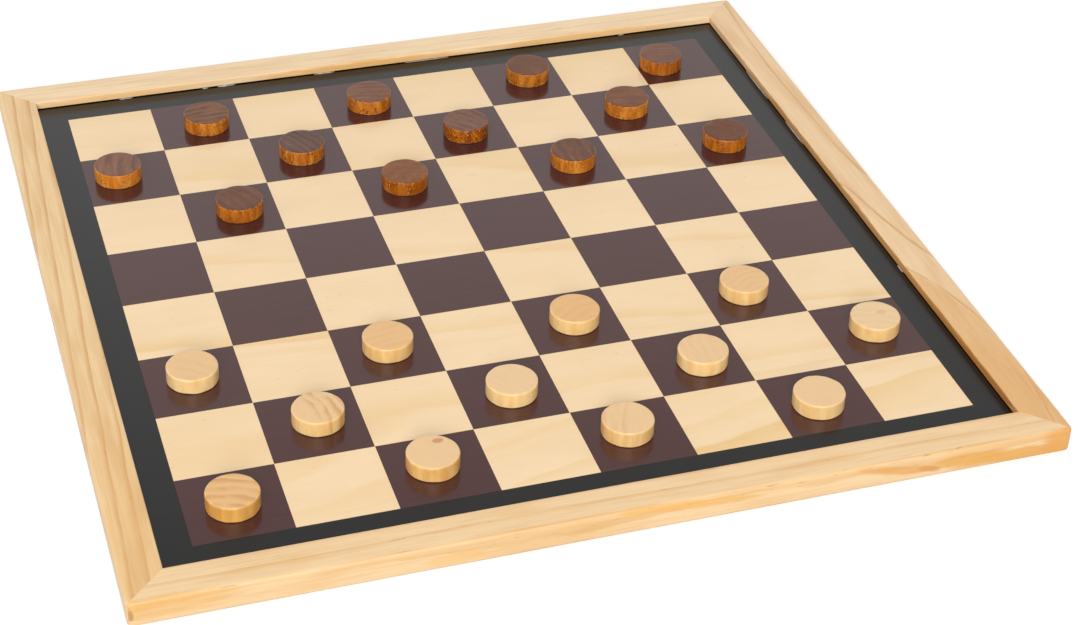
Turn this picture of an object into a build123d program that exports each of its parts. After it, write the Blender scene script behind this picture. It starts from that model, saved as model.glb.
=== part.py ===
from build123d import *
import os

# A framed draughts board with its two sets of twelve draughts, in millimetres.
# Four mitred pine rails hold a printed plywood panel in a groove at half their height, so
# that each face of the panel lies in a shallow tray.
# The origin is the middle of the frame's underside, on which it rests. +X is to the right,
# +Y is away from the player of the light draughts, +Z is up.

# Frame
FRAME_SIDE = 400.0
RAIL_WIDTH = 17.3
RAIL_HEIGHT = 12.0
CORNER_RADIUS = 2.5
OUTER_EDGE_RADIUS = 1.5
INNER_EDGE_RADIUS = 0.7
OPENING_SIDE = FRAME_SIDE - 2 * RAIL_WIDTH

# Panel, and the groove that holds it with a little room for the wood to move
PANEL_THICKNESS = 4.0
GROOVE_WIDTH = 4.6
GROOVE_DEPTH = 5.0
PANEL_EDGE_PLAY = 0.5
GROOVE_SIDE = OPENING_SIDE + 2 * GROOVE_DEPTH
GROOVE_FLOOR = (RAIL_HEIGHT - GROOVE_WIDTH) / 2
PANEL_SIDE = GROOVE_SIDE - 2 * PANEL_EDGE_PLAY
PANEL_TOP = GROOVE_FLOOR + PANEL_THICKNESS

# Print on the panel: the border laps over the outer squares, and the dark squares stand
# just clear of one another where they meet at their corners
SQUARE = 42.5
SQUARES_A_SIDE = 8
BORDER_LAP = 1.1
INK_THICKNESS = 0.1
INK_CLEARANCE = 0.05
GRID_SIDE = SQUARE * SQUARES_A_SIDE
PRINT_SIDE = GRID_SIDE - 2 * BORDER_LAP
INK_TOP = PANEL_TOP + INK_THICKNESS

# Draughts
DRAUGHT_DIAMETER = 22.5
DRAUGHT_HEIGHT = 7.5
DRAUGHT_EDGE_RADIUS = 0.45

# Brads across the mitres, driven through the side rails and filled over
BRAD_DIAMETER = 1.2
BRAD_LENGTH = 16.0
BRAD_POINT = 2.0
BRAD_HEAD_DIAMETER = 1.8
BRAD_HEAD_HEIGHT = 1.0
BRAD_SINKING = 0.8
BRAD_FROM_CORNER = 6.0

# Where each draught was set down: the file and rank of its square, counted from the near
# left corner, then how far right of the square's middle and how far away from the player
# of the light draughts it stands
LIGHT_PLACES = [
    (1, 1, 0.0, 0.0),
    (3, 1, -1.5, 2.5),
    (5, 1, -2.0, 2.5),
    (7, 1, -2.0, -2.0),
    (2, 2, 2.5, 1.5),
    (4, 2, 1.5, -1.5),
    (6, 2, 3.5, -2.5),
    (8, 2, 2.0, 0.5),
    (1, 3, 0.0, 2.0),
    (3, 3, 1.0, 1.0),
    (5, 3, 1.5, -1.0),
    (7, 3, -1.5, 0.5),
]
DARK_PLACES = [
    (2, 6, 3.5, -0.5),
    (4, 6, 0.5, 2.5),
    (6, 6, 1.0, 0.5),
    (8, 6, -4.0, -1.0),
    (1, 7, -4.5, 2.0),
    (3, 7, 1.0, 0.0),
    (5, 7, 0.0, -1.0),
    (7, 7, 1.5, 0.5),
    (2, 8, 3.5, -3.0),
    (4, 8, 2.5, -3.5),
    (6, 8, 4.5, 2.5),
    (8, 8, -8.5, -3.5),
]


def square_middle(file, rank):
    """The middle of a square on the board, whose file and rank are counted from 1."""
    half = (SQUARES_A_SIDE + 1) / 2
    return (file - half) * SQUARE, (rank - half) * SQUARE


def upright_box(side, height, bottom):
    """A square block about the Z axis, with its underside at the height bottom."""
    return Pos(0, 0, bottom + height / 2) * Box(side, side, height)


def opening_edges(ring):
    """The edges of the frame's opening, at its top and at its underside."""
    edges = []
    for edge in ring.faces().filter_by(Axis.Z).edges():
        middle = edge.center()
        from_axis = max(abs(middle.X), abs(middle.Y))
        if abs(from_axis - OPENING_SIDE / 2) < OUTER_EDGE_RADIUS:
            edges.append(edge)
    return edges


def whole_frame():
    """The four rails as one ring: rounded outside, eased inside, and grooved."""
    block = upright_box(FRAME_SIDE, RAIL_HEIGHT, 0)
    block = fillet(block.edges().filter_by(Axis.Z), CORNER_RADIUS)
    block = fillet(block.faces().filter_by(Axis.Z).edges(), OUTER_EDGE_RADIUS)
    ring = block - upright_box(OPENING_SIDE, RAIL_HEIGHT, 0)
    ring = fillet(opening_edges(ring), INNER_EDGE_RADIUS)
    return ring - upright_box(GROOVE_SIDE, GROOVE_WIDTH, GROOVE_FLOOR)


def mitre_wedge(turn):
    """The space of one rail between the two mitres, turned about Z by so many degrees."""
    half = FRAME_SIDE / 2
    triangle = Polygon((0, 0), (half, -half), (half, half), align=None)
    return Rot(0, 0, turn) * extrude(triangle, RAIL_HEIGHT)


def brad_places():
    """Each brad's place at a corner, and the direction along X in which it is driven."""
    reach = FRAME_SIDE / 2
    for side in (-1, 1):
        for end in (-1, 1):
            yield Vector(side * reach, end * (reach - BRAD_FROM_CORNER), RAIL_HEIGHT / 2), -side


def driven(solid, place, direction):
    """A solid that is made along +Z from the origin, laid into a rail along X."""
    return Pos(place) * Rot(0, 90 * direction, 0) * solid


def brad():
    """A finishing brad with a small round head, a shank and a point, head outwards."""
    shank = BRAD_LENGTH - BRAD_HEAD_HEIGHT - BRAD_POINT
    profile = Polyline(
        (0, 0),
        (BRAD_HEAD_DIAMETER / 2, 0),
        (BRAD_HEAD_DIAMETER / 2, BRAD_HEAD_HEIGHT),
        (BRAD_DIAMETER / 2, BRAD_HEAD_HEIGHT),
        (BRAD_DIAMETER / 2, BRAD_HEAD_HEIGHT + shank),
        (0, BRAD_LENGTH),
        (0, 0),
    )
    solid = revolve(Plane.XZ * make_face(profile), Axis.Z)
    return Pos(0, 0, BRAD_SINKING) * solid


def filling():
    """The plug of putty over a brad's head, flush with the rail."""
    return Pos(0, 0, BRAD_SINKING / 2) * Cylinder(BRAD_HEAD_DIAMETER / 2, BRAD_SINKING)


def panel():
    """The plywood panel, loose in the groove and lying on its lower lip."""
    return upright_box(PANEL_SIDE, PANEL_THICKNESS, GROOVE_FLOOR)


def dark_squares():
    """The 32 dark squares of the print, cut off at the border."""
    limit = PRINT_SIDE / 2
    size = SQUARE - 2 * INK_CLEARANCE
    squares = []
    for file in range(1, SQUARES_A_SIDE + 1):
        for rank in range(1, SQUARES_A_SIDE + 1):
            if (file + rank) % 2:
                continue
            x, y = square_middle(file, rank)
            left = max(x - size / 2, -limit)
            right = min(x + size / 2, limit)
            near = max(y - size / 2, -limit)
            far = min(y + size / 2, limit)
            film = Box(right - left, far - near, INK_THICKNESS)
            middle = Pos((left + right) / 2, (near + far) / 2, PANEL_TOP + INK_THICKNESS / 2)
            squares.append(middle * film)
    return squares


def border():
    """The printed border, from the outer squares to the panel's edge inside the groove."""
    outside = upright_box(PANEL_SIDE, INK_THICKNESS, PANEL_TOP)
    return outside - upright_box(PRINT_SIDE, INK_THICKNESS, PANEL_TOP)


def draught():
    """A plain turned disc with eased edges, standing on the origin."""
    disc = Pos(0, 0, DRAUGHT_HEIGHT / 2) * Cylinder(DRAUGHT_DIAMETER / 2, DRAUGHT_HEIGHT)
    return fillet(disc.edges().filter_by(GeomType.CIRCLE), DRAUGHT_EDGE_RADIUS)


def set_down(places):
    """A draught at each place of a set, on the print."""
    disc = draught()
    for file, rank, right, away in places:
        x, y = square_middle(file, rank)
        yield Pos(x + right, y + away, INK_TOP) * disc


def save(name, shape):
    """Write one piece, or a group of like pieces, under its name."""
    shape.label = name
    export_step(shape, f"parts/{name}.step")


os.makedirs("parts", exist_ok=True)

brads = [driven(brad(), place, direction) for place, direction in brad_places()]
fillings = [driven(filling(), place, direction) for place, direction in brad_places()]
ring = whole_frame()
for name, turn in (("right", 0), ("back", 90), ("left", 180), ("front", 270)):
    rail = ring & mitre_wedge(turn)
    for piece in brads + fillings:
        rail = rail - piece
    save(f"rail_{name}", rail.solid())
save("mitre_brads", Compound(children=brads))
save("brad_fillings", Compound(children=fillings))
save("game_panel", panel())
save("dark_square_print", Compound(children=dark_squares()))
save("border_print", border())
for colour, places in (("light", LIGHT_PLACES), ("dark", DARK_PLACES)):
    for number, disc in enumerate(set_down(places), start=1):
        save(f"draught_{colour}_{number:02d}", disc)
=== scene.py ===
import math

import bpy
from mathutils import Matrix, Vector, noise


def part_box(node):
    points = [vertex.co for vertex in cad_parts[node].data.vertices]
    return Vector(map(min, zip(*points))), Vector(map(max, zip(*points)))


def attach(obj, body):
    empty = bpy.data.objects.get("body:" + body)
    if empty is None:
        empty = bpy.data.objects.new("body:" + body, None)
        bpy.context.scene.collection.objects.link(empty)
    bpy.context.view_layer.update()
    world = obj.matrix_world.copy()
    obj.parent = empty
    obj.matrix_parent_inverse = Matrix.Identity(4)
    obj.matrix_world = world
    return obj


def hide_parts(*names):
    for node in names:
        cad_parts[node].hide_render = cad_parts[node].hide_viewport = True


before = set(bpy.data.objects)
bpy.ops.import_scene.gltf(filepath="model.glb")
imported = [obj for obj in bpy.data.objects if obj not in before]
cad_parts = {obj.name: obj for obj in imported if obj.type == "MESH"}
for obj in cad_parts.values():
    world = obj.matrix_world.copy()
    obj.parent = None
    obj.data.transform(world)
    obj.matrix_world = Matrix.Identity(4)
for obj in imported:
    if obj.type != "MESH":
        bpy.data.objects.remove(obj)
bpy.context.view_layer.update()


# Rails
# Four lengths of pine, planed, grooved, mitred and glued up round the panel. The frame was
# sanded as a whole, which rounded its outside, and sprayed with a clear satin lacquer. Sizes
# are in millimetres, and MM turns them into metres.
MM = 0.001
FRAME_SIDE = 400.0
RAIL_WIDTH = 17.3
RAIL_HEIGHT = 12.0
CORNER_RADIUS = 2.5
OUTER_ARRIS = 1.5
INNER_ARRIS = 0.7
GROOVE_WIDTH = 4.6
GROOVE_DEPTH = 5.0
MITRE_EASING = 0.12
SANDING_DEPTH = 0.10
SANDING_LENGTH = 38.0
LATEWOOD_WIDTH = 2.6
RING_WAVE = 2.4
RING_RIPPLE = 1.0
PATH_MOST = 50.0


def linear(shade):
    """An sRGB colour, written as hex digits, as linear RGBA."""
    channels = [int(shade[i:i + 2], 16) / 255 for i in (0, 2, 4)]
    return tuple(c / 12.92 if c <= 0.04045 else ((c + 0.055) / 1.055) ** 2.4 for c in channels) + (1.0,)


def add(tree, kind, inputs=None, **settings):
    """One node with its settings. An input is a value, a socket, or a node, whose first output
    in use is meant."""
    node = tree.nodes.new("ShaderNode" + kind)
    for name, value in settings.items():
        setattr(node, name, value)
    for key, value in (inputs or {}).items():
        named = [socket for socket in node.inputs if socket.enabled and socket.name == key]
        socket = node.inputs[key] if isinstance(key, int) else named[0]
        if isinstance(value, bpy.types.Node):
            value = next(output for output in value.outputs if output.enabled)
        if isinstance(value, bpy.types.NodeSocket):
            tree.links.new(value, socket)
        else:
            socket.default_value = value
    return node


def times(tree, first, second):
    """The product of two values."""
    return add(tree, "Math", {0: first, 1: second}, operation="MULTIPLY")


def shifted(tree, value, other, share):
    """A value moved by a share of another."""
    return add(tree, "Math", {0: other, 1: share, 2: value}, operation="MULTIPLY_ADD")


def ranged(tree, value, low, high, start=0.0, end=1.0):
    """From low to high, as the value goes from start to end."""
    ends = {"Value": value, "From Min": start, "From Max": end, "To Min": low, "To Max": high}
    return add(tree, "MapRange", ends)


def blank_material(name):
    """A new material, and its empty node tree."""
    material = bpy.data.materials.new(name)
    material.use_nodes = True
    material.node_tree.nodes.clear()
    return material, material.node_tree


def blotches(tree, place, size, detail=2.0, seed=0.0):
    """Soft noise from 0 to 1 whose blotches are so many millimetres long, wide and deep."""
    scaled = add(tree, "VectorMath", {0: place, 1: tuple(1 / s for s in size)}, operation="MULTIPLY")
    moved = add(tree, "VectorMath", {0: scaled, 1: (seed, seed * 1.7, seed * 2.3)}, operation="ADD")
    return add(tree, "TexNoise", {"Vector": moved, "Scale": 1.0, "Detail": detail, "Roughness": 0.55})


def stepped(tree, value, low, high):
    """A smooth step of a value, from 0 at low to 1 at high."""
    ends = {"Value": value, "From Min": low, "From Max": high}
    return add(tree, "MapRange", ends, interpolation_type="SMOOTHSTEP")


def blended(tree, amount, first, second):
    """Two colours, blended by an amount from 0 to 1."""
    return add(tree, "Mix", {"Factor": amount, "A": first, "B": second}, data_type="RGBA")


def curved(tree, value, points):
    """A value bent by a curve through the points. All of them lie between 0 and 1."""
    node = add(tree, "FloatCurve", {"Value": value})
    curve = node.mapping.curves[0]
    while len(curve.points) < len(points):
        curve.points.new(0.5, 0.5)
    for point, place in zip(curve.points, points):
        point.location = place
    node.mapping.update()
    return node


def rings_from_path(tree, place, spacing, lean, path, seed):
    """How many rings lie between the ring that path follows and this point."""
    along, across, height = add(tree, "SeparateXYZ", {0: place}).outputs
    half = FRAME_SIDE / 2
    inward = add(tree, "Math", {0: across, 1: half}, operation="ADD")
    fraction = ranged(tree, along, 0.0, 1.0, -half, half)
    shares = [((where + half) / FRAME_SIDE, depth / PATH_MOST) for where, depth in path]
    drifted = shifted(tree, inward, curved(tree, fraction, shares), -PATH_MOST)
    below = add(tree, "Math", {0: RAIL_HEIGHT, 1: height}, operation="SUBTRACT")
    leaning = shifted(tree, drifted, below, math.tan(math.radians(lean)))
    slow = blotches(tree, place, (70, 16, 16), seed=seed)
    wavy = shifted(tree, leaning, slow, RING_WAVE)
    quick = blotches(tree, place, (20, 3, 3), seed=seed + 3)
    uneven = shifted(tree, wavy, quick, RING_RIPPLE)
    settled = add(tree, "Math", {0: uneven, 1: (RING_WAVE + RING_RIPPLE) / 2}, operation="SUBTRACT")
    return add(tree, "Math", {0: settled, 1: spacing}, operation="DIVIDE")


def patched(tree, place, colour, patches, seed):
    """A colour with ragged patches of other shades laid over it."""
    ragged = blotches(tree, place, (14, 2.2, 2.2), detail=3.0, seed=seed + 13)
    for middle, reach, tilt, shade, share in patches:
        offset = add(tree, "VectorMath", {0: place, 1: middle}, operation="SUBTRACT")
        tilted = {"Vector": offset, "Angle": math.radians(tilt)}
        level = add(tree, "VectorRotate", tilted, rotation_type="Y_AXIS")
        scaled = add(tree, "VectorMath", {0: level, 1: tuple(1 / r for r in reach)}, operation="MULTIPLY")
        far = add(tree, "VectorMath", {0: scaled}, operation="LENGTH").outputs["Value"]
        torn = shifted(tree, far, ragged, 0.9)
        patch = stepped(tree, torn, 1.45, 0.95)
        part = times(tree, patch, share)
        colour = blended(tree, part, colour, linear(shade))
    return colour


def pine(name, turn, early, late, spacing, lean, strength, path, patches, seed, heart=0.0):
    """Pine under satin lacquer, as a solid: the same rings show on the top, the sides and the
    arrises. path is how far inwards one ring lies along the rail, and lean is its slope in
    degrees. heart is how much darker the wood inside that ring is. patches are places where a
    ring lies nearly flat in the surface, or end grain shows, and painted shade on the inner
    walls: middle, reach, tilt, shade, share."""
    material, tree = blank_material(name)
    own = add(tree, "TexCoord").outputs["Object"]
    facing = {"Vector": own, "Angle": math.radians(-turn)}
    turned = add(tree, "VectorRotate", facing, rotation_type="Z_AXIS")
    place = add(tree, "VectorMath", {0: turned, "Scale": 1 / MM}, operation="SCALE")
    turns = rings_from_path(tree, place, spacing, lean, path, seed)
    year = add(tree, "Math", {0: turns}, operation="FRACT")

    # Latewood: a line that comes on slowly and ends sharply, strong in places and faint in others
    darkening = stepped(tree, year, 1 - LATEWOOD_WIDTH / spacing, 0.97)
    edge = stepped(tree, year, 1.0, 0.96)
    line = times(tree, darkening, edge)
    fade = blotches(tree, place, (60, 6, 6), seed=seed + 5)
    depth = ranged(tree, fade, 0.4, 1.0, 0.3, 0.7)
    shown = times(tree, line, depth)
    latewood = times(tree, shown, strength)
    inside = stepped(tree, turns, -0.02, 0.03)
    hearty = times(tree, inside, heart)
    ground = blended(tree, hearty, linear(early), linear("DFA456"))
    colour = blended(tree, latewood, ground, linear(late))

    # Wide clouds of warmer wood, and the patches
    clouds = stepped(tree, blotches(tree, place, (55, 9, 9), seed=seed + 11), 0.42, 0.72)
    warmth = times(tree, clouds, 0.35)
    colour = blended(tree, warmth, colour, linear(late))
    colour = patched(tree, place, colour, patches, seed)

    # Fibres, drawn a millimetre wide so that they show, and resin ducts, which are dark dashes
    # near the latewood
    fibres = blotches(tree, place, (30, 1.1, 1.1), detail=3.0, seed=seed + 7)
    fibre = ranged(tree, fibres, 0.0, 0.20, 0.40, 0.7)
    colour = blended(tree, fibre, colour, linear("CF9A5C"))
    ducts = stepped(tree, blotches(tree, place, (8, 0.8, 0.8), detail=1.0, seed=seed + 9), 0.66, 0.78)
    near_ring = ranged(tree, shown, 0.12, 0.7)
    duct = times(tree, ducts, near_ring)
    colour = blended(tree, duct, colour, linear("86683F"))

    relief = add(tree, "Math", {0: fibres, 1: latewood}, operation="ADD")
    bump = add(tree, "Bump", {"Strength": 0.25, "Distance": 0.05 * MM, "Height": relief})
    rough = ranged(tree, fibres, 0.34, 0.46)
    satin = {"Base Color": colour, "Roughness": rough, "IOR": 1.5, "Normal": bump}
    surface = add(tree, "BsdfPrincipled", satin)
    add(tree, "OutputMaterial", {"Surface": surface})
    return material


def arc(middle, radius, start, end, steps=6):
    """Points on an arc, as (inward, height), with angles in degrees."""
    for step in range(steps + 1):
        angle = math.radians(start + (end - start) * step / steps)
        yield middle[0] + radius * math.cos(angle), middle[1] + radius * math.sin(angle)


def rail_section():
    """A rail's section, as (inward from the outer face, height), from the outer face's foot."""
    low = (RAIL_HEIGHT - GROOVE_WIDTH) / 2
    high = low + GROOVE_WIDTH
    floor = RAIL_WIDTH - GROOVE_DEPTH
    section = list(arc((OUTER_ARRIS, OUTER_ARRIS), OUTER_ARRIS, 270, 180))
    section += [(0, RAIL_HEIGHT * k / 6) for k in (2, 3, 4)]
    section += arc((OUTER_ARRIS, RAIL_HEIGHT - OUTER_ARRIS), OUTER_ARRIS, 180, 90)
    section += [(RAIL_WIDTH * k / 6, RAIL_HEIGHT) for k in (1, 2, 3, 4, 5)]
    section += arc((RAIL_WIDTH - INNER_ARRIS, RAIL_HEIGHT - INNER_ARRIS), INNER_ARRIS, 90, 0, 4)
    section += [(RAIL_WIDTH, high), (floor, high), (floor, low), (RAIL_WIDTH, low)]
    section += arc((RAIL_WIDTH - INNER_ARRIS, INNER_ARRIS), INNER_ARRIS, 0, -90, 4)
    section += [(RAIL_WIDTH * k / 6, 0) for k in (5, 4, 3, 2, 1)]
    return section


def shrunk(section, depth):
    """The section drawn in by a depth all round, towards its inside."""
    drawn = []
    for index, point in enumerate(section):
        before = Vector(section[index - 1])
        after = Vector(section[(index + 1) % len(section)])
        run = (after - before).normalized()
        drawn.append((point[0] + depth * run.y, point[1] - depth * run.x))
    return drawn


def rounded_corner(x, y):
    """A point of the square frame, moved so that the frame's corner is round."""
    start = FRAME_SIDE / 2 - CORNER_RADIUS
    u = abs(x) - start
    v = abs(y) - start
    if u <= 0 or v <= 0:
        return x, y
    scale = max(u, v) / math.hypot(u, v)
    return math.copysign(start + u * scale, x), math.copysign(start + v * scale, y)


def new_piece(name, points, faces, material, body):
    """A smooth mesh with sharp edges kept sharp, made in millimetres, which rides on a body."""
    mesh = bpy.data.meshes.new(name)
    mesh.from_pydata([Vector(p) * MM for p in points], [], faces)
    mesh.validate()
    mesh.materials.append(material)
    mesh.polygons.foreach_set("use_smooth", [True] * len(mesh.polygons))
    mesh.set_sharp_from_angle(angle=math.radians(35))
    piece = bpy.data.objects.new(name, mesh)
    bpy.context.scene.collection.objects.link(piece)
    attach(piece, body)
    return piece


def tube_faces(rows, around):
    """The quads of a tube of rows of points, and a cap at each end."""
    faces = []
    for row in range(rows - 1):
        for k in range(around):
            low = row * around
            nxt = (k + 1) % around
            faces.append((low + k, low + nxt, low + around + nxt, low + around + k))
    faces.append(tuple(reversed(range(around))))
    faces.append(tuple((rows - 1) * around + k for k in range(around)))
    return faces


def sanded_rail(name, turn, material, seed):
    """A rail from mitre to mitre. Sanding took a little off it unevenly, and each mitre has a
    hairline where the two rails' arrises were broken before they were glued."""
    half = FRAME_SIDE / 2

    # Where the section is drawn, closer together towards the mitres
    near_end = [0.0, 0.15, 0.4, 0.8, 1.3, 1.9, 2.6, 4.0]
    inner = [8.0 * k for k in range(1, 49)]
    stations = sorted({d for d in near_end + inner} | {FRAME_SIDE - d for d in near_end})
    whole = rail_section()
    eased = shrunk(whole, MITRE_EASING)
    points = []
    for station in stations:
        share = station / half - 1
        section = eased if station in (0.0, FRAME_SIDE) else whole
        deeper = shrunk(section, SANDING_DEPTH)
        for (inward, height), (in_deeper, height_deeper) in zip(section, deeper):
            sample = Vector((share * half, inward, height)) / SANDING_LENGTH
            worn = 0.5 + 0.5 * noise.noise(sample + Vector((seed, 0, 0)))
            inward += (in_deeper - inward) * worn
            height += (height_deeper - height) * worn
            x, y = rounded_corner(share * (half - inward), inward - half)
            points.append((x, y, height))
    turned = Matrix.Rotation(math.radians(turn), 3, "Z")
    points = [turned @ Vector(p) for p in points]
    faces = tube_faces(len(stations), len(whole))
    piece = new_piece("sanded_" + name, points, faces, material, "board")
    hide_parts(name)


# Front rail: a faint ring along the middle of its top and one at the arris, and a face that
# runs almost along the rings, with broad orange patches and end grain at its left corner
PINE_FRONT = pine(
    "pine_front",
    turn=0,
    early="F5D3A3",
    late="E0A960",
    spacing=8.2,
    lean=16,
    strength=0.60,
    path=[(-200, 9.8), (-120, 9.0), (-40, 10.2), (40, 9.2), (120, 9.9), (200, 8.8)],
    patches=[
        ((152, -200, 6.0), (22, 3, 4.6), 0, "E6AB57", 0.90),
        ((178, -200, 3.4), (30, 3, 4.6), 0, "E6AB57", 0.90),
        ((198, -200, 7.0), (16, 3, 13), 0, "E6A654", 0.90),
        ((120, -200, 6.8), (23, 3, 2.8), -10, "E3A14E", 0.75),
        ((134, -200, 4.6), (7, 3, 2.0), -12, "D28C3A", 0.60),
        ((26, -200, 9.4), (42, 3, 2.6), -4, "EEB45E", 0.75),
        ((-70, -200, 4.5), (16, 3, 3.6), 0, "F0B962", 0.45),
        ((-187, -200, 8), (40, 3, 7), 0, "E9B05C", 0.50),
        ((-198.6, -200, 6.0), (1.5, 2, 3.6), 0, "AE7B40", 0.72),
    ],
    seed=1.0,
)
sanded_rail("rail_front", 0, PINE_FRONT, 1)

# Right rail: sawn flat, so one ring bends round in an arch at the front, where the wood inside
# it is darker, and the next runs slantwise out of the rail's inner edge
PINE_RIGHT = pine(
    "pine_right",
    turn=90,
    early="F3D0A2",
    late="D99F5F",
    spacing=18.0,
    lean=25,
    strength=1.0,
    path=[
        (-191, 6.9),
        (-170, 3.5),
        (-140, 1.7),
        (-127, 2.1),
        (-102, 6.1),
        (-85, 11.2),
        (-64, 20.6),
        (-34, 28.4),
        (0, 34.4),
        (17, 40.0),
        (64, 42.9),
        (191, 41.5),
    ],
    patches=[
        ((-175, -188, 12), (60, 12, 14), 0, "DFA255", 0.30),
        ((-190, -199, 10), (34, 6, 12), 0, "DFA052", 0.60),
        # Painted shade: these three patches darken the inner wall, with a darker line near its top.
        ((-20, -182.7, 8), (240, 1.3, 5), 0, "C48636", 0.80),
        ((-160, -182.7, 10.6), (32, 1.0, 1.8), 0, "A85A1C", 0.70),
        ((-140, -182.7, 8), (60, 1.2, 6), 0, "B87428", 0.60),
    ],
    heart=0.48,
    seed=2.0,
)
sanded_rail("rail_right", 90, PINE_RIGHT, 2)

# Back rail: almost plain, with painted shade on its inner wall
PINE_BACK = pine(
    "pine_back",
    turn=180,
    early="FBDEB4",
    late="E4B880",
    spacing=9.5,
    lean=14,
    strength=0.40,
    path=[(-200, 9.0), (-80, 9.9), (60, 9.2), (200, 10.1)],
    patches=[
        # Painted shade: these patches draw the inner wall darker and yellower than the top.
        ((10, -183, 8), (75, 1.5, 6), 0, "E6AC5A", 0.75),
        ((-110, -183, 8), (70, 1.5, 6), 0, "EAB566", 0.65),
        ((140, -183, 8), (60, 1.5, 6), 0, "EAB566", 0.50),
    ],
    seed=3.0,
)
sanded_rail("rail_back", 180, PINE_BACK, 3)

# Left rail: sawn across the rings, which drift slantwise over it
PINE_LEFT = pine(
    "pine_left",
    turn=270,
    early="F4D19C",
    late="D0924A",
    spacing=6.9,
    lean=6,
    strength=0.80,
    path=[(-183, 20.9), (-106, 17.1), (-42, 14.6), (0, 12.6), (106, 7.8), (191, 4.3)],
    patches=[((160, -191, 10), (100, 14, 14), 0, "E6B26B", 0.35)],
    seed=4.0,
)
sanded_rail("rail_left", 270, PINE_LEFT, 4)


# Panel
# Three-ply, 4 mm thick, with a pale close-grained face veneer peeled from the log, so its
# figure is broad and wavy. It was printed, and then lacquered to a semi-gloss.
def lacquer(tree, colour, height, roughness, ior):
    """A semi-gloss lacquer over a colour. The sheet under it is never quite flat, which bends
    what it mirrors a little."""
    bump = add(tree, "Bump", {"Strength": 0.15, "Distance": 0.2 * MM, "Height": height})
    coat = {"Base Color": colour, "Roughness": roughness, "IOR": ior, "Normal": bump}
    return add(tree, "BsdfPrincipled", coat)


def dress(node, material):
    """Give one of the part's solids its material."""
    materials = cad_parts[node].data.materials
    materials.clear()
    materials.append(material)


def millimetres(tree):
    """The place on the object, in millimetres."""
    own = add(tree, "TexCoord").outputs["Object"]
    return add(tree, "VectorMath", {0: own, "Scale": 1 / MM}, operation="SCALE")


YEAR_LINES = [
    (-176, 0.95, -24),
    (-158, 0.45, -8),
    (-141, 0.40, -7),
    (-133, 0.45, -9),
    (-112, 0.50, 14),
    (-72, 0.30, 4),
    (-63, 0.85, 9),
    (-1, 0.55, 7),
    (74, 0.55, 26),
    (118, 0.25, 20),
]
RUN = [(-176, 0.24), (-141, 0.22), (-112, 0.02), (-63, -0.14), (-1, -0.19), (74, -0.21), (150, -0.10)]
SHEET = 400.0
LINE_EDGE = 1.2
FIGURE_WAVE = 16.0
FIGURE_RIPPLE = 5.0


def peeled_figure(tree, place):
    """The veneer's figure from 0 to 1. The knife met each year's ring nearly flat, so the rings
    are far apart: each is tan at its late side, which ends at a line, and pale beyond it. YEAR_LINES
    has each line's place on the middle line along Y, its depth, and how far the tan reaches. RUN
    is how steeply the lines climb along X, at places along Y."""
    along, across, _ = add(tree, "SeparateXYZ", {0: place}).outputs
    level = ranged(tree, across, 0.0, 1.0, -SHEET / 2, SHEET / 2)
    run = curved(tree, level, [(where / SHEET + 0.5, slope + 0.5) for where, slope in RUN])
    slope = add(tree, "Math", {0: run, 1: 0.5}, operation="SUBTRACT")
    rise = times(tree, slope, along)
    straight = add(tree, "Math", {0: across, 1: rise}, operation="SUBTRACT")
    slow = blotches(tree, place, (70, 30, 30), detail=1.0, seed=21)
    waved = shifted(tree, straight, slow, FIGURE_WAVE)
    quick = blotches(tree, place, (24, 6, 6), detail=3.0, seed=24)
    uneven = shifted(tree, waved, quick, FIGURE_RIPPLE)
    settled = add(tree, "Math", {0: uneven, 1: (FIGURE_WAVE + FIGURE_RIPPLE) / 2}, operation="SUBTRACT")
    share = ranged(tree, settled, 0.0, 1.0, -SHEET / 2, SHEET / 2)
    rings = add(tree, "ValToRGB", {"Fac": share})
    ramp = rings.color_ramp
    for where, depth, width in YEAR_LINES:
        for step, value in ((math.copysign(LINE_EDGE, -width), 0.0), (0.0, depth), (width, 0.0)):
            stop = ramp.elements.new((where + step) / SHEET + 0.5)
            stop.color = (value, value, value, 1.0)
    fade = blotches(tree, place, (60, 25, 25), seed=27)
    shown = ranged(tree, fade, 0.5, 1.0, 0.35, 0.62)
    return times(tree, rings, shown)


def veneer():
    """The face veneer: cream, with broad tan years, faint fibres and a few short dark flecks."""
    material, tree = blank_material("peeled_veneer")
    place = millimetres(tree)
    clouds = stepped(tree, blotches(tree, place, (60, 30, 30), detail=3.0, seed=29), 0.35, 0.65)
    plain = blended(tree, clouds, linear("FBDDB2"), linear("F8D9AC"))
    banded = blended(tree, peeled_figure(tree, place), plain, linear("F0C988"))
    fibres = blotches(tree, place, (26, 1.6, 1.6), detail=3.0, seed=31)
    fibre = ranged(tree, fibres, 0.0, 0.045, 0.40, 0.7)
    fibrous = blended(tree, fibre, banded, linear("D09C5C"))
    flecks = stepped(tree, blotches(tree, place, (4.0, 1.1, 1.1), detail=0.0, seed=35), 0.84, 0.90)
    fleck = times(tree, flecks, 0.22)
    colour = blended(tree, fleck, fibrous, linear("9A7748"))
    waves = blotches(tree, place, (60, 20, 20), seed=37)
    surface = lacquer(tree, colour, waves, 0.18, 1.5)
    add(tree, "OutputMaterial", {"Surface": surface})
    return material


dress("game_panel", veneer())


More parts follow.
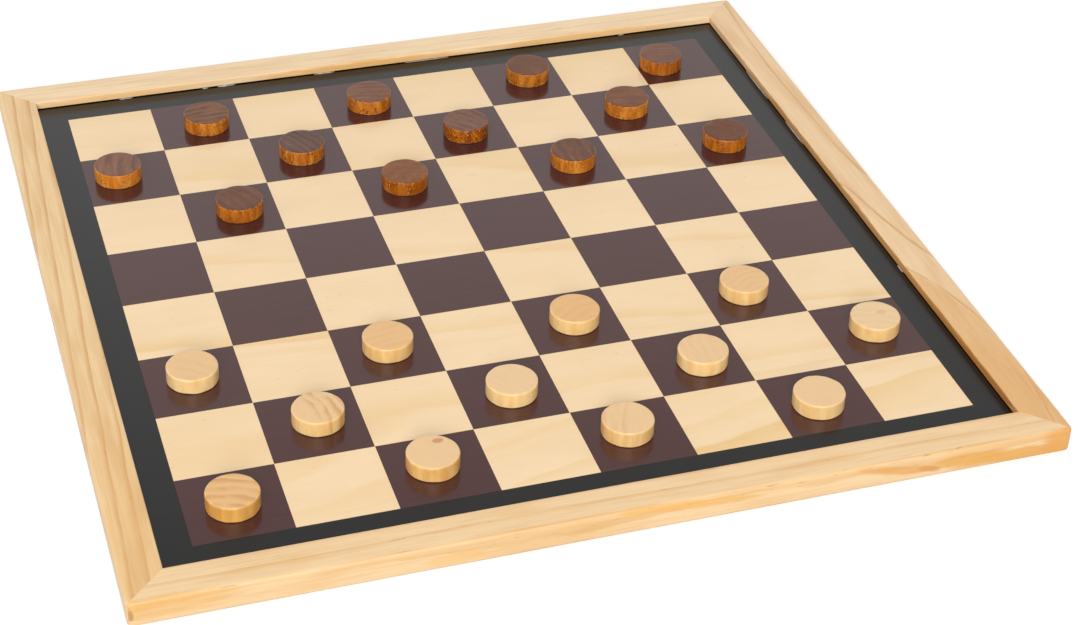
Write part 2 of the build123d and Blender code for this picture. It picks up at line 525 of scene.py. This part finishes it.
# Print
# The dark squares and the border are screen-printed ink, opaque and even, under the same
# lacquer as the bare wood. The black ink is thicker and takes a little of its gloss. A trace of
# the veneer's fibres shows through.
def printed(name, shade, trace, roughness, ior):
    """Ink of one shade, which the fibres' trace varies a little, with the lacquer's gloss."""
    material, tree = blank_material(name)
    place = millimetres(tree)
    fibres = blotches(tree, place, (28, 0.6, 0.6), detail=3.0, seed=31)
    amount = ranged(tree, fibres, 0.0, 0.5, 0.35, 0.75)
    colour = blended(tree, amount, linear(shade), linear(trace))
    waves = blotches(tree, place, (60, 20, 20), seed=37)
    surface = lacquer(tree, colour, waves, roughness, ior)
    add(tree, "OutputMaterial", {"Surface": surface})
    return material


BROWN_INK = printed("dark_brown_ink", "472422", "552E2A", roughness=0.16, ior=1.56)
BLACK_INK = printed("black_ink", "0E0A08", "191513", roughness=0.25, ior=1.5)
dress("dark_square_print", BROWN_INK)
dress("border_print", BLACK_INK)


# Glue
# White glue that squeezed out between the panel and the back and right rails when the frame
# was glued up, and set in the corner as low uneven beads.
def glue():
    """Dried white glue: half clear, with a soft gloss."""
    material, tree = blank_material("white_glue")
    place = millimetres(tree)
    cloudy = blotches(tree, place, (3, 3, 1), seed=45)
    colour = blended(tree, cloudy, linear("BDBAB2"), linear("85827B"))
    cloud = {"Subsurface Weight": 0.2, "Subsurface Radius": (MM, MM, MM)}
    surface = add(tree, "BsdfPrincipled", {"Base Color": colour, "Roughness": 0.35, **cloud})
    add(tree, "OutputMaterial", {"Surface": surface})
    return material


GLUE = glue()
CORNER = FRAME_SIDE / 2 - RAIL_WIDTH
PANEL_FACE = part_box("border_print")[1].z / MM
BEAD_STEP = 1.2
BEAD_FLATNESS = 0.7
TUCKED_IN = 0.15
SUNK = 0.02
BACK_BEADS = [
    (-141, -134, 0.8),
    (-98, -95, 0.8),
    (-90, -81, 1.0),
    (-39, -28, 1.0),
    (10, 34, 0.7),
    (130, 133, 0.8),
]
RIGHT_BEADS = [(62, 68, 0.8), (-74, -51, 0.7), (-128, -98, 0.7)]


def bead(name, start, end, size, turn):
    """A bead along the corner of the panel and a rail, thin at its ends and lumpy. turn is the
    rail's. Its back and its foot lie a hair inside the rail and the panel."""
    steps = max(6, int((end - start) / BEAD_STEP))
    points = []
    for step in range(steps + 1):
        share = step / steps
        along = start + (end - start) * share
        lump = 0.65 + 0.35 * noise.noise(Vector((along / 2.3, turn, 0)))
        swell = size * lump * math.sin(math.pi * (0.06 + 0.88 * share)) ** 0.5
        for angle in (0, 30, 60, 90):
            side = math.radians(angle)
            back = CORNER + TUCKED_IN - swell * math.cos(side)
            points.append((along, back, PANEL_FACE - SUNK + BEAD_FLATNESS * swell * math.sin(side)))
        points.append((along, CORNER + TUCKED_IN, PANEL_FACE - SUNK))
    turned = Matrix.Rotation(math.radians(turn), 3, "Z")
    points = [turned @ Vector(p) for p in points]
    new_piece(name, points, tube_faces(steps + 1, 5), GLUE, "board")


for number, (start, end, size) in enumerate(BACK_BEADS, start=1):
    bead(f"glue_back_{number}", start, end, size, 0)
for number, (start, end, size) in enumerate(RIGHT_BEADS, start=1):
    bead(f"glue_right_{number}", start, end, size, -90)


# Brads and fillings
# A steel brad holds each mitre. It was driven through the side rail, punched below the
# surface and filled over with putty, sanded flush.
def steel():
    """Bright drawn wire: a metal, so its colour is that of what it mirrors."""
    material, tree = blank_material("drawn_steel")
    place = millimetres(tree)
    draw_lines = blotches(tree, place, (6.0, 0.15, 0.15), seed=41)
    rough = ranged(tree, draw_lines, 0.22, 0.42)
    bright = {"Base Color": linear("A9A9A6"), "Metallic": 1.0, "Roughness": rough}
    surface = add(tree, "BsdfPrincipled", bright)
    add(tree, "OutputMaterial", {"Surface": surface})
    return material


def putty():
    """Matt filler, a little darker than the pine, with a fine sanded tooth."""
    material, tree = blank_material("putty")
    place = millimetres(tree)
    grit = blotches(tree, place, (0.25, 0.25, 0.25), seed=43)
    colour = blended(tree, grit, linear("E0BC85"), linear("CFA66C"))
    bump = add(tree, "Bump", {"Strength": 0.3, "Distance": 0.05 * MM, "Height": grit})
    surface = add(tree, "BsdfPrincipled", {"Base Color": colour, "Roughness": 0.6, "Normal": bump})
    add(tree, "OutputMaterial", {"Surface": surface})
    return material


dress("mitre_brads", steel())
dress("brad_fillings", putty())


# Light draughts
# Discs parted off a turned dowel of pale wood, tumbled until their arrises were round, and
# lacquered. The tops are end grain, so the rings cross them and run down their sides.
LIGHT_ARRIS = 0.75
STEPS_ROUND = 96
WEAR = 0.03
DISH_BREADTH = 9.0
RINGS_FADE = 4.0


def disc_profile(radius, height, arris):
    """Half a disc's section, as (from the axis, height, how much it is end grain, how much it is
    an arris)."""
    profile = [(radius * k / 4, 0.0, 1.0, 0.0) for k in (1, 2, 3)]
    for out, up in arc((radius - arris, arris), arris, -90, 0, 6):
        on_base = out < radius - arris * 0.3
        profile.append((out, up, 1.0 if on_base else 0.0, 1.0 if out > radius - arris * 0.95 else 0.0))
    profile += [(radius, height * k / 6, 0.0, 0.0) for k in (1, 2, 3, 4, 5)]
    for out, up in arc((radius - arris, height - arris), arris, 0, 90, 6):
        on_top = out < radius - arris * 0.3
        profile.append((out, up, 1.0 if on_top else 0.0, 1.0 if out > radius - arris * 0.95 else 0.0))
    profile += [(radius * k / 6, height, 1.0, 0.0) for k in (5, 4, 3, 2, 1)]
    return profile


def disc_points(low, high, arris, seed):
    """A disc's points in the box from low to high, section by section round it and then the
    middles of its base and top, and how much each is end grain and arris."""
    middle = (low + high) / 2 / MM
    radius = (high.x - low.x) / 2 / MM
    height = (high.z - low.z) / MM
    floor = low.z / MM
    points = []
    kinds = []
    for step in range(STEPS_ROUND):
        angle = math.tau * step / STEPS_ROUND
        rim = Vector((math.cos(angle), math.sin(angle), seed * 3.1))
        round_here = arris * (1.0 + 0.5 * noise.noise(rim * 2.5))
        worn = WEAR * (1.0 + noise.noise(rim * 1.5 + Vector((5, 5, 5))))
        for out, up, *kind in disc_profile(radius - worn, height, round_here):
            across_top = Vector((rim.x * out, rim.y * out, seed)) / DISH_BREADTH
            dish = WEAR * (1.0 + noise.noise(across_top)) if up > height / 2 else 0.0
            points.append((middle.x + rim.x * out, middle.y + rim.y * out, floor + up - dish))
            kinds.append(kind)
    points += [(middle.x, middle.y, floor), (middle.x, middle.y, floor + height - WEAR)]
    kinds += [(1.0, 0.0), (1.0, 0.0)]
    return points, kinds


def disc_faces(count):
    """The faces between a disc's so many points: quads from one section to the next, and
    triangles to the middles of the base and the top."""
    around = count // STEPS_ROUND
    faces = []
    for step in range(STEPS_ROUND):
        here = step * around
        nxt = (step + 1) % STEPS_ROUND * around
        for k in range(around - 1):
            faces.append((here + k, nxt + k, nxt + k + 1, here + k + 1))
        faces.append((count - 2, nxt, here))
        faces.append((count - 1, here + around - 1, nxt + around - 1))
    return faces


def draught(node, material, slot, seed, arris, grain, ring_mm, pith_mm, rings, tone, **own):
    """A disc in the place of its node. Its wood is laid out round the tree's pith, pith_mm from
    the disc's middle: the rings run at the angle grain over the top, ring_mm apart, and rings is
    how deep they are. tone and warmth pick the top's colour, side that of the side, and speckle
    how many open pores show. ringed_from is how far beyond the middle, away from the pith, the
    rings start to show, and knot is where a small knot is: how far right of the middle, and
    beyond it. On a light disc warmth is how strong the knot is."""
    wood = {"warmth": 0.5, "side": 0.4, "speckle": 0.5, "ringed_from": -99, "knot": (99, 99), **own}
    low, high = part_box(node)
    points, kinds = disc_points(low, high, arris, seed)
    piece = new_piece("turned_" + node, points, disc_faces(len(points)), material, node)
    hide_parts(node)

    # What the material reads at each point
    turn = math.radians(grain)
    beyond = Vector((-math.sin(turn), math.cos(turn), 0))
    middle = (low + high) / 2 / MM
    centre = Vector((middle.x, middle.y, 0))
    origins = {"from_pith": centre - beyond * pith_mm, "from_knot": centre + Vector((*wood["knot"], 0))}
    for name, origin in origins.items():
        store = piece.data.attributes.new(name, "FLOAT_VECTOR", "POINT")
        store.data.foreach_set("vector", [c for p in points for c in Vector(p) - origin])
    depths = []
    for point in points:
        past = (Vector(point) - centre).dot(beyond) - wood["ringed_from"]
        depths.append(rings * min(max(past / RINGS_FADE, 0.0), 1.0))
    values = {"end_grain": [k[0] for k in kinds], "arris": [k[1] for k in kinds], "ring_depth": depths}
    values["ring_mm"] = [ring_mm] * len(points)
    values["tone"] = [tone] * len(points)
    for name in ("warmth", "side", "speckle"):
        values[name] = [wood[name]] * len(points)
    for name, value in values.items():
        store = piece.data.attributes.new(name, "FLOAT", "POINT")
        store.data.foreach_set("value", value)


def stored(tree, name):
    """A value that the draught's mesh holds, such as the place from the pith."""
    node = add(tree, "Attribute", attribute_name=name)
    return node.outputs["Vector" if name.startswith("from") else "Fac"]


def round_pith(tree, place):
    """The same place as millimetres out from the pith, round it, and up."""
    x, y, z = add(tree, "SeparateXYZ", {0: place}).outputs
    flat = add(tree, "CombineXYZ", {"X": x, "Y": y})
    out = add(tree, "VectorMath", {0: flat}, operation="LENGTH").outputs["Value"]
    angle = add(tree, "Math", {0: y, 1: x}, operation="ARCTAN2")
    spread = times(tree, angle, 45.0)
    return add(tree, "CombineXYZ", {"X": out, "Y": spread, "Z": z})


def dowel_rings(tree, ringwise, wobble):
    """Rings round the pith, from 0 to 1: a slow darkening and a softer edge, deep on one part of
    the disc and faint on another."""
    out = add(tree, "SeparateXYZ", {0: ringwise}).outputs["X"]
    slow = blotches(tree, ringwise, (9, 14, 60), seed=51)
    uneven = shifted(tree, out, slow, wobble)
    turns = add(tree, "Math", {0: uneven, 1: stored(tree, "ring_mm")}, operation="DIVIDE")
    year = add(tree, "Math", {0: turns}, operation="FRACT")
    darkening = stepped(tree, year, 0.15, 0.75)
    edge = stepped(tree, year, 1.0, 0.80)
    ring = times(tree, darkening, edge)
    fade = stepped(tree, blotches(tree, ringwise, (8, 16, 60), seed=53), 0.28, 0.56)
    faded = times(tree, ring, fade)
    return times(tree, faded, stored(tree, "ring_depth"))


def light_dowel():
    """Pale softwood dowel under a satin lacquer. Long grain, on the side, is yellower than end
    grain and stands in soft upright bands. The arrises carry a painted highlight in places."""
    material, tree = blank_material("light_dowel")
    place = stored(tree, "from_pith")
    end = stored(tree, "end_grain")
    ringwise = round_pith(tree, place)
    ring = dowel_rings(tree, ringwise, 4.0)
    top = blended(tree, stored(tree, "tone"), linear("F1D0A2"), linear("EBB87A"))
    bands = stepped(tree, blotches(tree, place, (3.4, 3.4, 14), detail=3.0, seed=54), 0.32, 0.68)
    pale_side = blended(tree, bands, linear("F9DCA3"), linear("F4CC8B"))
    deep_side = blended(tree, bands, linear("ECB45B"), linear("D89945"))
    side = blended(tree, stored(tree, "side"), pale_side, deep_side)
    ground = blended(tree, end, side, top)
    ring_shade = blended(tree, end, linear("D6994F"), linear("D2985A"))
    ringed = blended(tree, ring, ground, ring_shade)
    fibres = blotches(tree, ringwise, (1.1, 5, 16), detail=3.0, seed=55)
    fibre = ranged(tree, fibres, 0.0, 0.08, 0.38, 0.7)
    fibrous = blended(tree, fibre, ringed, linear("C98F48"))
    oval = (1.0, 1.5, 0)
    knot_place = add(tree, "VectorMath", {0: stored(tree, "from_knot"), 1: oval}, operation="MULTIPLY")
    knot_reach = add(tree, "VectorMath", {0: knot_place}, operation="LENGTH").outputs["Value"]
    knot = stepped(tree, knot_reach, 2.9, 1.9)
    knotted = times(tree, knot, stored(tree, "warmth"))
    whole = blended(tree, knotted, fibrous, linear("C98455"))
    # Painted highlight: the arrises are lightened towards FFEBC8 in blotches, where their rounding catches
    # the light.
    arris_highlight_noise = blotches(tree, place, (4, 4, 4), seed=57)
    painted_arris_highlight = ranged(tree, arris_highlight_noise, 0.0, 0.12, 0.4, 0.65)
    edge = times(tree, painted_arris_highlight, stored(tree, "arris"))
    colour = blended(tree, edge, whole, linear("FFEBC8"))
    bump = add(tree, "Bump", {"Strength": 0.2, "Distance": 0.04 * MM, "Height": fibres})
    satin = {"Base Color": colour, "Roughness": 0.34, "IOR": 1.5, "Normal": bump}
    surface = add(tree, "BsdfPrincipled", satin)
    add(tree, "OutputMaterial", {"Surface": surface})
    return material


LIGHT_WOOD = light_dowel()
LIGHT_DRAUGHTS = [
    dict(grain=-22, ring_mm=5.0, pith_mm=40, rings=0.75, tone=0.85, side=1.0),
    dict(grain=-30, ring_mm=5.0, pith_mm=60, rings=0.0, tone=0.35, side=0.72, knot=(3.8, 6.5), warmth=0.75),
    dict(grain=70, ring_mm=4.6, pith_mm=55, rings=0.40, tone=0.35, side=0.38, ringed_from=-1),
    dict(grain=20, ring_mm=4.0, pith_mm=30, rings=0.0, tone=0.35, side=0.22),
    dict(grain=-74, ring_mm=4.4, pith_mm=34, rings=0.75, tone=0.40, side=0.36, ringed_from=-4),
    dict(grain=-60, ring_mm=3.6, pith_mm=40, rings=0.05, tone=0.20, side=0.15),
    dict(grain=85, ring_mm=4.4, pith_mm=45, rings=0.10, tone=0.35, side=0.22),
    dict(grain=-20, ring_mm=4.8, pith_mm=35, rings=0.1, tone=0.10, side=0.30, knot=(3.4, 1.5), warmth=0.25),
    dict(grain=-35, ring_mm=5.0, pith_mm=35, rings=0.15, tone=0.50, side=0.15),
    dict(grain=10, ring_mm=4.2, pith_mm=50, rings=0.15, tone=0.75, side=0.45),
    dict(grain=25, ring_mm=5.0, pith_mm=22, rings=0.18, tone=0.90, side=0.30),
    dict(grain=20, ring_mm=4.0, pith_mm=18, rings=0.15, tone=0.60, side=0.36),
]
for number, wood in enumerate(LIGHT_DRAUGHTS, start=1):
    draught(f"draught_light_{number:02d}", LIGHT_WOOD, "light_draught_wood", number, LIGHT_ARRIS, **wood)


# Dark draughts
# The same discs in a harder, open-pored wood, whose arrises stayed crisper, stained brown. The
# end grain of the tops drank more stain than the sides, which are golden brown and speckled
# with dark open pores.
def with_pores(tree, place, end, colour, pores):
    """A colour with open pores, cut across on the top and along on the side, and with bright
    wood between them. Both crowd in patches and along the arrises."""
    rough_patches = blotches(tree, place, (6, 6, 5), seed=65)
    speckle = stored(tree, "speckle")
    crowd = shifted(tree, rough_patches, speckle, 0.16)
    crowded = shifted(tree, crowd, stored(tree, "arris"), 0.08)
    rough = stepped(tree, crowded, 0.44, 0.70)
    pore = stepped(tree, pores, 0.50, 0.62)
    pored = times(tree, pore, rough)
    pore_depth = ranged(tree, end, 0.66, 0.30)
    open_pore = times(tree, pored, pore_depth)
    pore_shade = blended(tree, end, linear("421A04"), linear("2E1A12"))
    porous = blended(tree, open_pore, colour, pore_shade)
    glints = stepped(tree, pores, 0.42, 0.30)
    glint_depth = ranged(tree, end, 0.60, 0.12)
    glinting = times(tree, glints, rough)
    glint = times(tree, glinting, glint_depth)
    return blended(tree, glint, porous, linear("E9AC50"))


def dark_dowel():
    """Stained end grain, streaked along the rings, and a side with less gloss. The pores are drawn
    coarser than they are, so that they show. The arrises are rubbed pale in places."""
    material, tree = blank_material("dark_dowel")
    place = stored(tree, "from_pith")
    end = stored(tree, "end_grain")
    tone = stored(tree, "tone")
    ringwise = round_pith(tree, place)
    ring = dowel_rings(tree, ringwise, 5.0)
    warm_top = blended(tree, tone, linear("6A3405"), linear("965610"))
    grey_top = blended(tree, tone, linear("5D3B2A"), linear("82594A"))
    top = blended(tree, stored(tree, "warmth"), grey_top, warm_top)
    streaks = blotches(tree, ringwise, (1.8, 12, 60), detail=3.0, seed=62)
    streak = ranged(tree, streaks, 0.0, 0.32, 0.50, 0.70)
    streaky = blended(tree, streak, top, linear("41271D"))
    pale = ranged(tree, streaks, 0.0, 0.32, 0.46, 0.28)
    scraped = blended(tree, pale, streaky, linear("A27660"))
    bands = stepped(tree, blotches(tree, place, (3.5, 3.5, 14), detail=2.0, seed=64), 0.32, 0.66)
    pale_side = blended(tree, bands, linear("E4983E"), linear("C6721E"))
    deep_side = blended(tree, bands, linear("B4620A"), linear("843F02"))
    side = blended(tree, stored(tree, "side"), pale_side, deep_side)
    ground = blended(tree, end, side, scraped)
    ring_shade = blended(tree, end, linear("9A4E10"), linear("38201A"))
    ringed = blended(tree, ring, ground, ring_shade)
    pores = blotches(tree, place, (0.7, 0.7, 1.0), detail=2.0, seed=61)
    bright = with_pores(tree, place, end, ringed, pores)
    rubbed = stepped(tree, blotches(tree, place, (1.8, 1.8, 1.8), seed=67), 0.48, 0.66)
    edge = times(tree, rubbed, stored(tree, "arris"))
    paler = times(tree, edge, 0.38)
    colour = blended(tree, paler, bright, linear("C08F60"))
    relief = {"Strength": 0.35, "Distance": 0.06 * MM, "Height": pores, "Filter Width": 0.1}
    bump = add(tree, "Bump", relief)
    gloss = ranged(tree, end, 0.22, 0.43)
    satin = {"Base Color": colour, "Roughness": 0.36, "IOR": 1.5, "Normal": bump}
    surface = add(tree, "BsdfPrincipled", {**satin, "Specular IOR Level": gloss})
    add(tree, "OutputMaterial", {"Surface": surface})
    return material


DARK_ARRIS = 0.45
DARK_WOOD = dark_dowel()
DARK_DRAUGHTS = [
    dict(grain=-60, ring_mm=5.0, pith_mm=45, rings=0.25, tone=0.2, warmth=0.55, side=0.75, speckle=0.25),
    dict(grain=15, ring_mm=6.5, pith_mm=18, rings=0.20, tone=0.7, warmth=0.9, side=0.82, speckle=0.4),
    dict(grain=88, ring_mm=5.0, pith_mm=50, rings=0.45, tone=0.3, warmth=0.6, side=0.34, speckle=0.45),
    dict(grain=-40, ring_mm=5.0, pith_mm=40, rings=0.05, tone=0.0, warmth=1.0, side=0.75, speckle=0.3),
    dict(grain=78, ring_mm=6.3, pith_mm=60, rings=0.40, tone=0.9, warmth=0.3, side=0.0, speckle=0.0),
    dict(grain=-62, ring_mm=4.0, pith_mm=60, rings=0.65, tone=0.25, warmth=0.05, side=0.40, speckle=1.0),
    dict(grain=-52, ring_mm=4.5, pith_mm=55, rings=0.35, tone=0.7, warmth=0.3, side=1.00, speckle=1.0),
    dict(grain=-20, ring_mm=5.5, pith_mm=40, rings=0.15, tone=0.35, warmth=0.9, side=0.36, speckle=0.4),
    dict(grain=8, ring_mm=4.2, pith_mm=45, rings=0.60, tone=0.65, warmth=0.6, side=0.52, speckle=0.25),
    dict(grain=-12, ring_mm=4.0, pith_mm=60, rings=0.40, tone=0.75, warmth=0.5, side=0.55, speckle=0.6),
    dict(grain=-20, ring_mm=6.0, pith_mm=50, rings=0.10, tone=0.05, warmth=1.0, side=0.62, speckle=0.8),
    dict(grain=-5, ring_mm=3.4, pith_mm=50, rings=0.20, tone=0.5, warmth=0.4, side=0.80, speckle=0.1),
]
for number, wood in enumerate(DARK_DRAUGHTS, start=1):
    draught(f"draught_dark_{number:02d}", DARK_WOOD, "dark_draught_wood", number + 20, DARK_ARRIS, **wood)


# Floor
# A seamless sheet of white studio paper, so wide that its edge never shows. The camera and
# the lacquer see it white, with the board's shadow on it, but it lights the rails' faces less.
def studio_paper():
    """White paper, which gives the eye plain white and no texture."""
    material, tree = blank_material("studio_paper")
    path = add(tree, "LightPath")
    rays = {0: path.outputs["Is Camera Ray"], 1: path.outputs["Is Glossy Ray"]}
    seen = add(tree, "Math", rays, operation="MAXIMUM")
    dim = add(tree, "BsdfDiffuse", {"Color": linear("A4A4A4")})
    paper = add(tree, "BsdfDiffuse", {"Color": linear("F4F4F4")})
    glow = add(tree, "Emission", {"Color": linear("FFFFFF"), "Strength": 0.25})
    lit = add(tree, "AddShader", {0: paper, 1: glow})
    both = add(tree, "MixShader", {0: seen, 1: dim, 2: lit})
    add(tree, "OutputMaterial", {"Surface": both})
    return material


FLOOR_REACH = 8.0
floor_mesh = bpy.data.meshes.new("floor")
corners = [(x * FLOOR_REACH, y * FLOOR_REACH, 0.0) for x, y in ((-1, -1), (1, -1), (1, 1), (-1, 1))]
floor_mesh.from_pydata(corners, [], [(0, 1, 2, 3)])
floor_mesh.materials.append(studio_paper())
floor = bpy.data.objects.new("floor", floor_mesh)
bpy.context.scene.collection.objects.link(floor)


# Light
# A softbox in front of the board, behind the viewpoint and in line with it, and a white
# backdrop behind the board, which the lacquer mirrors. The rest of the room is dimmer.
BACKDROP = 1.0
ROOM = 0.30
SOFTBOX_PLACE = (-1.26, -3.86, 2.64)
SOFTBOX_WIDTH = 3.2
SOFTBOX_WATTS = 230.0
world = bpy.data.worlds.new("white_backdrop")
bpy.context.scene.world = world
world.use_nodes = True
world.node_tree.nodes.clear()
sky = world.node_tree
direction = add(sky, "TexCoord").outputs["Generated"]
sideways, away, upward = add(sky, "SeparateXYZ", {0: direction}).outputs

# The backdrop's upper edge is soft, and stands a little lower on the right
tipped = shifted(sky, upward, sideways, 0.15)
ends = {"Value": tipped, "From Min": 0.74, "From Max": 0.54, "To Min": 0.2, "To Max": 1.0}
low_down = add(sky, "MapRange", ends, interpolation_type="SMOOTHSTEP")
behind = stepped(sky, away, -0.3, 0.4)
backdrop = times(sky, low_down, behind)
level = ranged(sky, backdrop, ROOM, BACKDROP)
background = add(sky, "Background", {"Color": linear("FFFFFF"), "Strength": level})
add(sky, "OutputWorld", {"Surface": background})

softbox_data = bpy.data.lights.new("softbox", "AREA")
softbox_data.shape = "DISK"
softbox_data.size = SOFTBOX_WIDTH
softbox_data.energy = SOFTBOX_WATTS
softbox = bpy.data.objects.new("softbox", softbox_data)
bpy.context.scene.collection.objects.link(softbox)
softbox.location = SOFTBOX_PLACE
softbox.rotation_euler = (-softbox.location).to_track_quat("-Z", "Y").to_euler()


# Viewpoint
# The camera of the photograph, from the corners of the squares and the frame's outline: 0.6 m above
# the board and 0.9 m in front of its middle, looking down and to the right, tipped by 2 degrees.
PHOTO_WIDTH = 1080.0
FOCAL_PIXELS = 2300.6
CAMERA_PLACE = (-0.26141, -0.85386, 0.60601)
camera_data = bpy.data.cameras.new("camera")
camera_data.sensor_width = 36.0
camera_data.lens = FOCAL_PIXELS * camera_data.sensor_width / PHOTO_WIDTH
camera_data.clip_start = 0.05
camera_data.clip_end = 50.0
camera = bpy.data.objects.new("camera", camera_data)
bpy.context.scene.collection.objects.link(camera)
bpy.context.scene.camera = camera
heading = math.radians(18.751)
pitch = math.radians(35.313)
roll = math.radians(1.976)
flat = math.cos(pitch)
forward = Vector((flat * math.sin(heading), flat * math.cos(heading), -math.sin(pitch)))
level_right = Vector((math.cos(heading), -math.sin(heading), 0))
level_up = level_right.cross(forward)
right = level_right * math.cos(roll) + level_up * math.sin(roll)
up = level_up * math.cos(roll) - level_right * math.sin(roll)
turned = Matrix((right, up, -forward)).transposed().to_4x4()
camera.matrix_world = Matrix.Translation(CAMERA_PLACE) @ turned

bpy.context.scene.view_settings.view_transform = "Standard"
